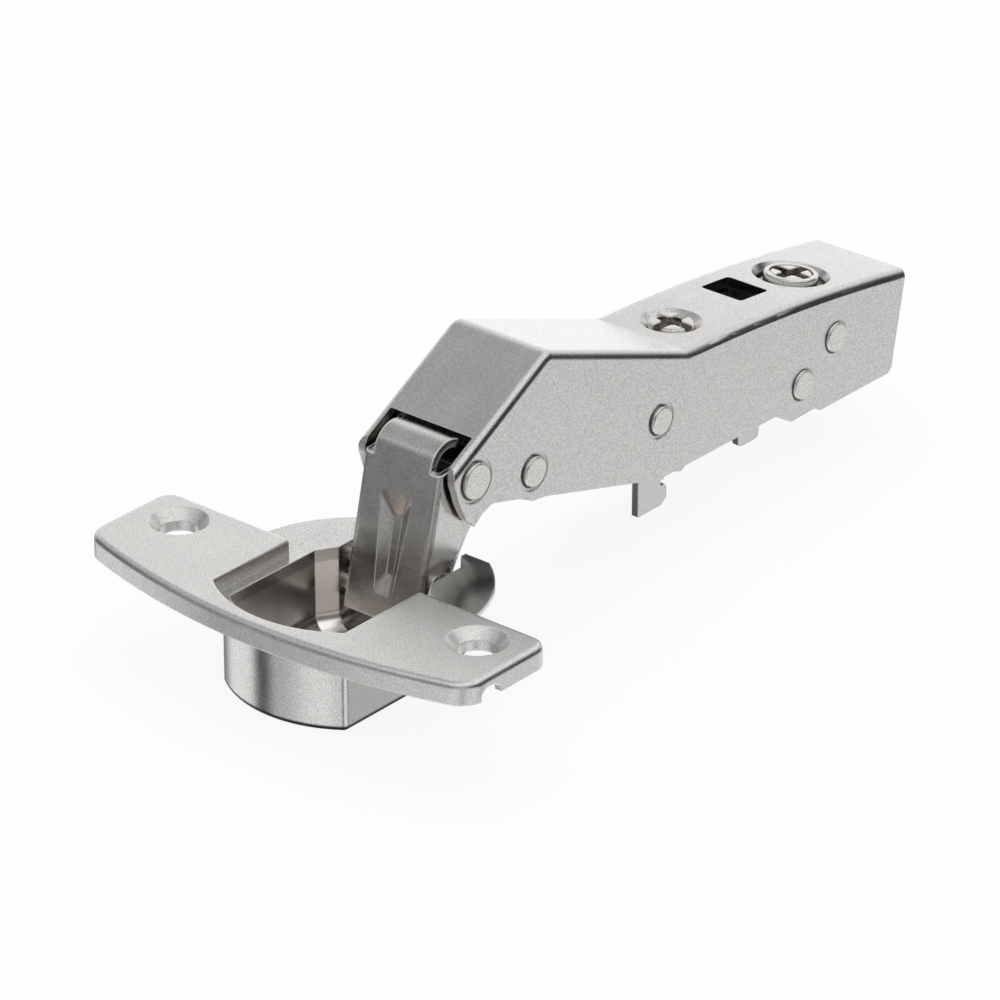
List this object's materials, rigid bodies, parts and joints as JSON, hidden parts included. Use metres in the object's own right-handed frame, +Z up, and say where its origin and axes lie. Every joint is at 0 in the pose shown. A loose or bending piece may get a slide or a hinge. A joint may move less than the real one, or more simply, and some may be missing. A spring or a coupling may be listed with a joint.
{
  "type": "concealed cup hinge",
  "caption": "Concealed cup hinge shown open: winged cup, embossed outer link and an angled clip-on arm with adjusting screws.",
  "frame": {"origin": "centre of the 35 mm cup on the plane of the door's face", "axes": "+X from the cup along the arm to its rear, +Y across the hinge, +Z up out of the cup"},
  "size_m": [0.1302, 0.0666, 0.0376],
  "materials": {
    "sheet_nickel": "satin nickel plate",
    "link_nickel": "satin nickel plate",
    "pin_steel": "nickel plate",
    "spring_steel": "oiled spring wire",
    "screw_steel": "nickel plate"
  },
  "bodies": {
    "cup_side": {"hinge_cup": "sheet_nickel", "wing_cover": "sheet_nickel", "cup_pin_near": "pin_steel", "cup_pin_far": "pin_steel", "inner_cup_pin": "pin_steel"},
    "outer_arm_link": {"outer_link": "link_nickel"},
    "inner_arm_link": {"inner_link": "link_nickel"},
    "arm": {"arm_channel": "sheet_nickel", "pin_outer_link": "pin_steel", "pin_inner_link": "pin_steel", "pin_front": "pin_steel", "pin_rear_upper": "pin_steel", "pin_rear_lower": "pin_steel", "closing_spring": "spring_steel", "lever_spring": "spring_steel"},
    "side_adjuster": {"side_screw": "screw_steel"},
    "depth_carrier": {"depth_slide": "sheet_nickel", "depth_collar": "screw_steel"},
    "depth_adjuster": {"depth_screw": "screw_steel"},
    "clip": {"clip_channel": "sheet_nickel"},
    "lever": {"release_lever": "sheet_nickel"}
  },
  "joints": [
    {"name": "door_fold", "type": "hinge", "parent": "cup_side", "child": "outer_arm_link", "pos_m": [0.00925, 0, -0.0058], "axis": [0, -1, 0], "range_deg": [0, 86.8]},
    {"name": "arm_pivot", "type": "hinge", "parent": "outer_arm_link", "child": "arm", "pos_m": [0.015, 0, 0.0124], "axis": [0, -1, 0], "range_deg": [0, 1.3]},
    {"name": "inner_link_pivot", "type": "hinge", "parent": "arm", "child": "inner_arm_link", "pos_m": [0.0269, 0, 0.0092], "axis": [0, -1, 0], "range_deg": [0, 16.3]},
    {"name": "side_screw_turn", "type": "hinge", "parent": "arm", "child": "side_adjuster", "pos_m": [0.0663, 0, 0.01455], "axis": [0.0548, 0, 0.9985], "range_deg": [-360, 360]},
    {"name": "depth_travel", "type": "slide", "parent": "arm", "child": "depth_carrier", "axis": [0.9912, 0, -0.1327], "range_m": [-0.001, 0.001]},
    {"name": "depth_screw_turn", "type": "hinge", "parent": "depth_carrier", "child": "depth_adjuster", "pos_m": [0.0933, 0, 0.012], "axis": [0.1327, 0, 0.9912], "range_deg": [-540, 540]},
    {"name": "side_tilt", "type": "hinge", "parent": "depth_carrier", "child": "clip", "pos_m": [0.0929, 0, 0.0049], "axis": [0, -1, 0], "range_deg": [-1.5, 1.5]},
    {"name": "lever_press", "type": "hinge", "parent": "arm", "child": "lever", "pos_m": [0.0855, 0, 0.0002], "axis": [0, -1, 0], "range_deg": [0, 8], "stiffness_Nm_per_rad": 0.05, "springref_deg": -8.59}
  ],
  "couplings": [
    {"joint": "arm_pivot", "follows": "door_fold", "ratio": 0.013825},
    {"joint": "inner_link_pivot", "follows": "door_fold", "ratio": 0.18548},
    {"joint": "side_tilt", "follows": "side_screw_turn", "ratio": 0.0041667},
    {"joint": "depth_screw_turn", "follows": "depth_travel", "rad_per_m": 6283.2}
  ]
}
